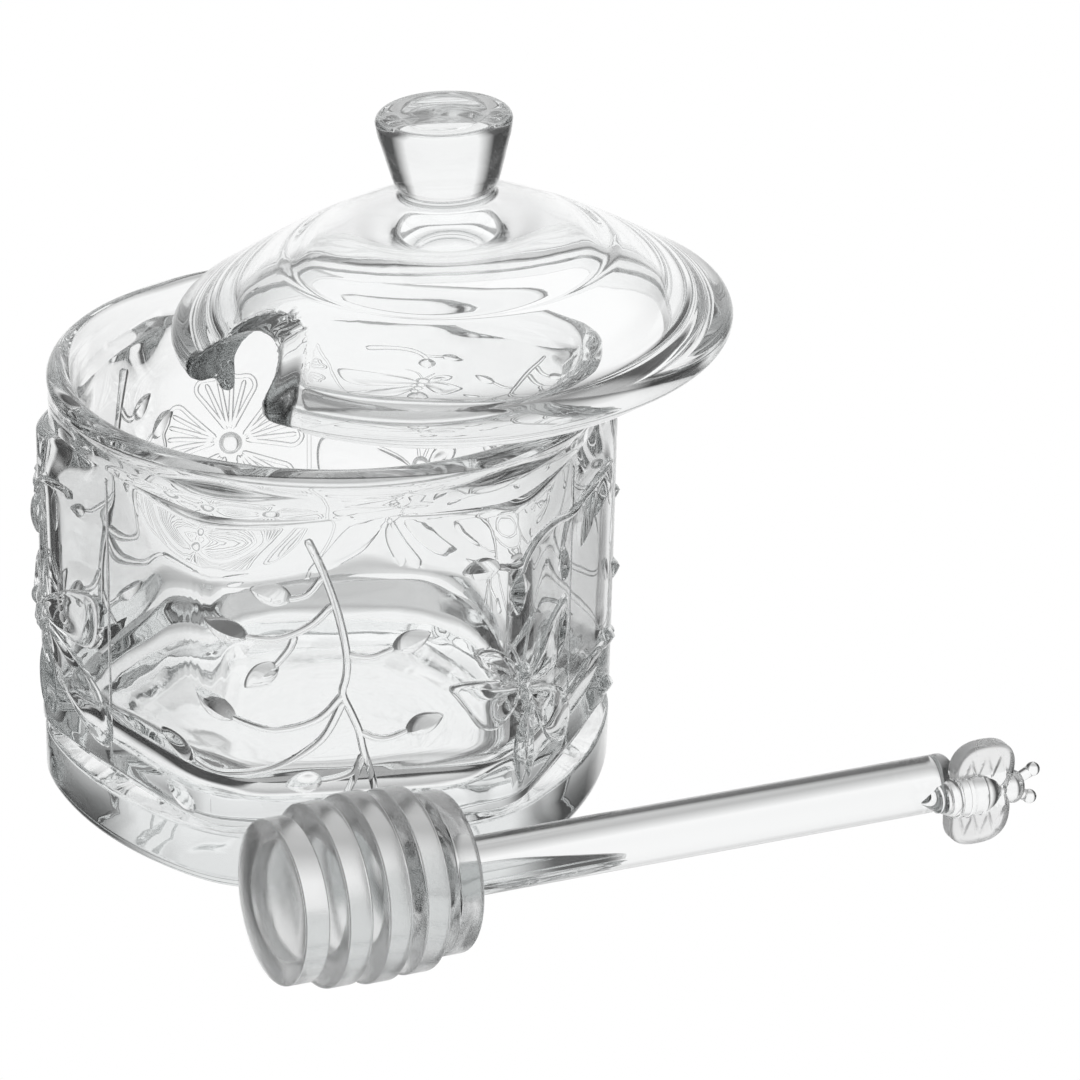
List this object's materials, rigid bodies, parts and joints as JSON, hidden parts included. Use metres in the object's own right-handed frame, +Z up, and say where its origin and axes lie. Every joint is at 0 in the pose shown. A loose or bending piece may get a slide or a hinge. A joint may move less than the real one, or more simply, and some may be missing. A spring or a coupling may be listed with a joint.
{
  "type": "glass honey pot",
  "caption": "Six-sided pressed glass pot with raised sprigs and butterflies, a domed knob lid notched for a rod and left askew on the rim, and a ribbed glass dipper lying in front.",
  "frame": {"origin": "middle of the pot's flat underside, on the surface where it stands", "axes": "+Z up, +X to the right of the picture, towards the dipper's bee end, +Y away from the viewer"},
  "size_m": [0.185, 0.1532, 0.1286],
  "materials": {
    "pot_glass": "clear pressed glass, polished",
    "lid_glass": "clear pressed glass, polished",
    "dipper_glass": "clear glass, polished, with a satin bee"
  },
  "bodies": {
    "root": {"pot": "pot_glass", "lid": "lid_glass", "dipper": "dipper_glass"}
  },
  "joints": []
}
